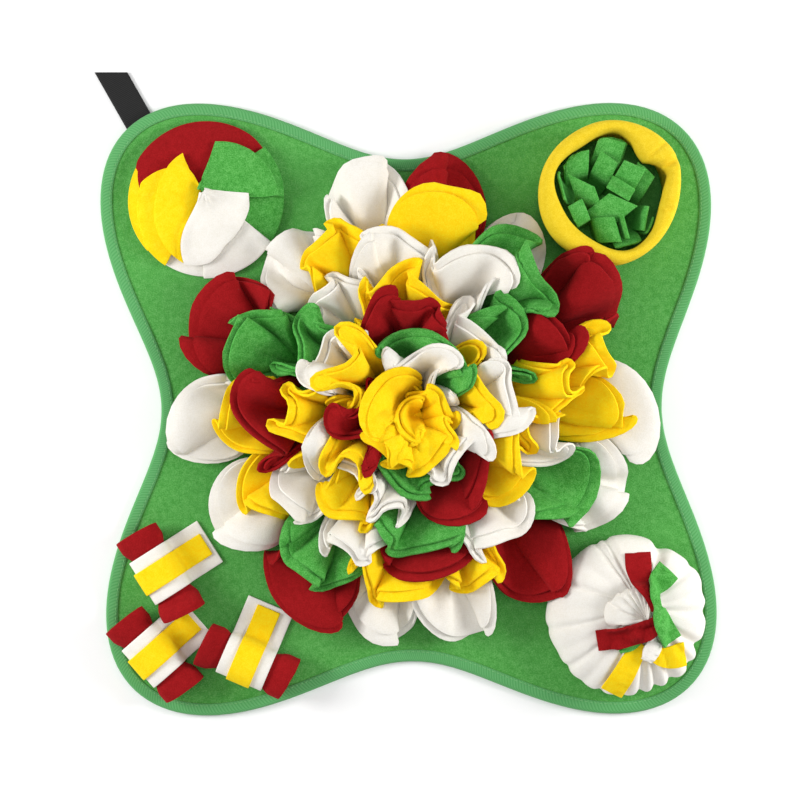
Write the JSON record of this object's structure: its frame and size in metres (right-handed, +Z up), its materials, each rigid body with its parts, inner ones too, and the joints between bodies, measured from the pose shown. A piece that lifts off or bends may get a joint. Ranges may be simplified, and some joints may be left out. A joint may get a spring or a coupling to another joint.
{
  "type": "snuffle mat",
  "caption": "Four-lobed padded fleece mat with a flower of ruffled fleece petals, a flap disc, a cup of strips, banded rolls and a tied pouch, to hide pet treats in.",
  "frame": {"origin": "middle of the mat on its flat underside", "axes": "+Z up from the floor; +X towards the cup's and the pouch's side, +Y towards the flap disc's and the cup's side"},
  "size_m": [0.5106, 0.5276, 0.0786],
  "materials": {
    "mat_fleece": "napped fleece over a thin wadding, matt",
    "twill_tape": "folded twill tape, low sheen",
    "webbing": "woven webbing, low sheen",
    "fleece_green": "napped polyester fleece, matt",
    "fleece_red": "napped polyester fleece, matt",
    "fleece_yellow": "napped polyester fleece, matt",
    "fleece_white": "napped polyester fleece, matt"
  },
  "bodies": {
    "root": {"binding": "twill_tape", "cup": "fleece_yellow", "cup_strips": "fleece_green", "flap_disc": "fleece_white", "flap_green_front": "fleece_green", "flap_green_low": "fleece_green", "flap_red": "fleece_red", "flap_white_front": "fleece_white", "flap_white_low": "fleece_white", "flap_yellow_back": "fleece_yellow", "flap_yellow_front": "fleece_yellow", "flap_yellow_mid": "fleece_yellow", "mat_base": "mat_fleece", "petal_A01_white": "fleece_white", "petal_A02_red": "fleece_red", "petal_A03_white": "fleece_white", "petal_A04_red": "fleece_red", "petal_A05_white": "fleece_white", "petal_A06_white": "fleece_white", "petal_A07_red": "fleece_red", "petal_A08_white": "fleece_white", "petal_A09_white": "fleece_white", "petal_A10_red": "fleece_red", "petal_A11_white": "fleece_white", "petal_A12_white": "fleece_white", "petal_A13_red": "fleece_red", "petal_A14_white": "fleece_white", "petal_B03_red": "fleece_red", "petal_B04_green": "fleece_green", "petal_B06_yellow": "fleece_yellow", "petal_B07_green": "fleece_green", "petal_B10_green": "fleece_green", "petal_B12_yellow": "fleece_yellow", "petal_B13_green": "fleece_green", "petal_C03_green": "fleece_green", "petal_C05_white": "fleece_white", "petal_C07_green": "fleece_green", "petal_C08_red": "fleece_red", "petal_C11_green": "fleece_green", "petal_D01_white": "fleece_white", "petal_D04_yellow": "fleece_yellow", "petal_D09_white": "fleece_white", "petal_D14_red": "fleece_red", "petal_E01_green": "fleece_green", "petal_E13_green": "fleece_green", "petal_F06_yellow": "fleece_yellow", "pouch": "fleece_white", "roll_1_band": "fleece_white", "roll_1_red": "fleece_red", "roll_1_stripe": "fleece_yellow", "roll_2_band": "fleece_white", "roll_2_red": "fleece_red", "roll_2_stripe": "fleece_yellow", "roll_3_band": "fleece_white", "roll_3_red": "fleece_red", "roll_3_stripe": "fleece_yellow", "strap": "webbing", "tie_green": "fleece_green", "tie_red": "fleece_red", "tie_yellow": "fleece_yellow"}
  },
  "joints": []
}
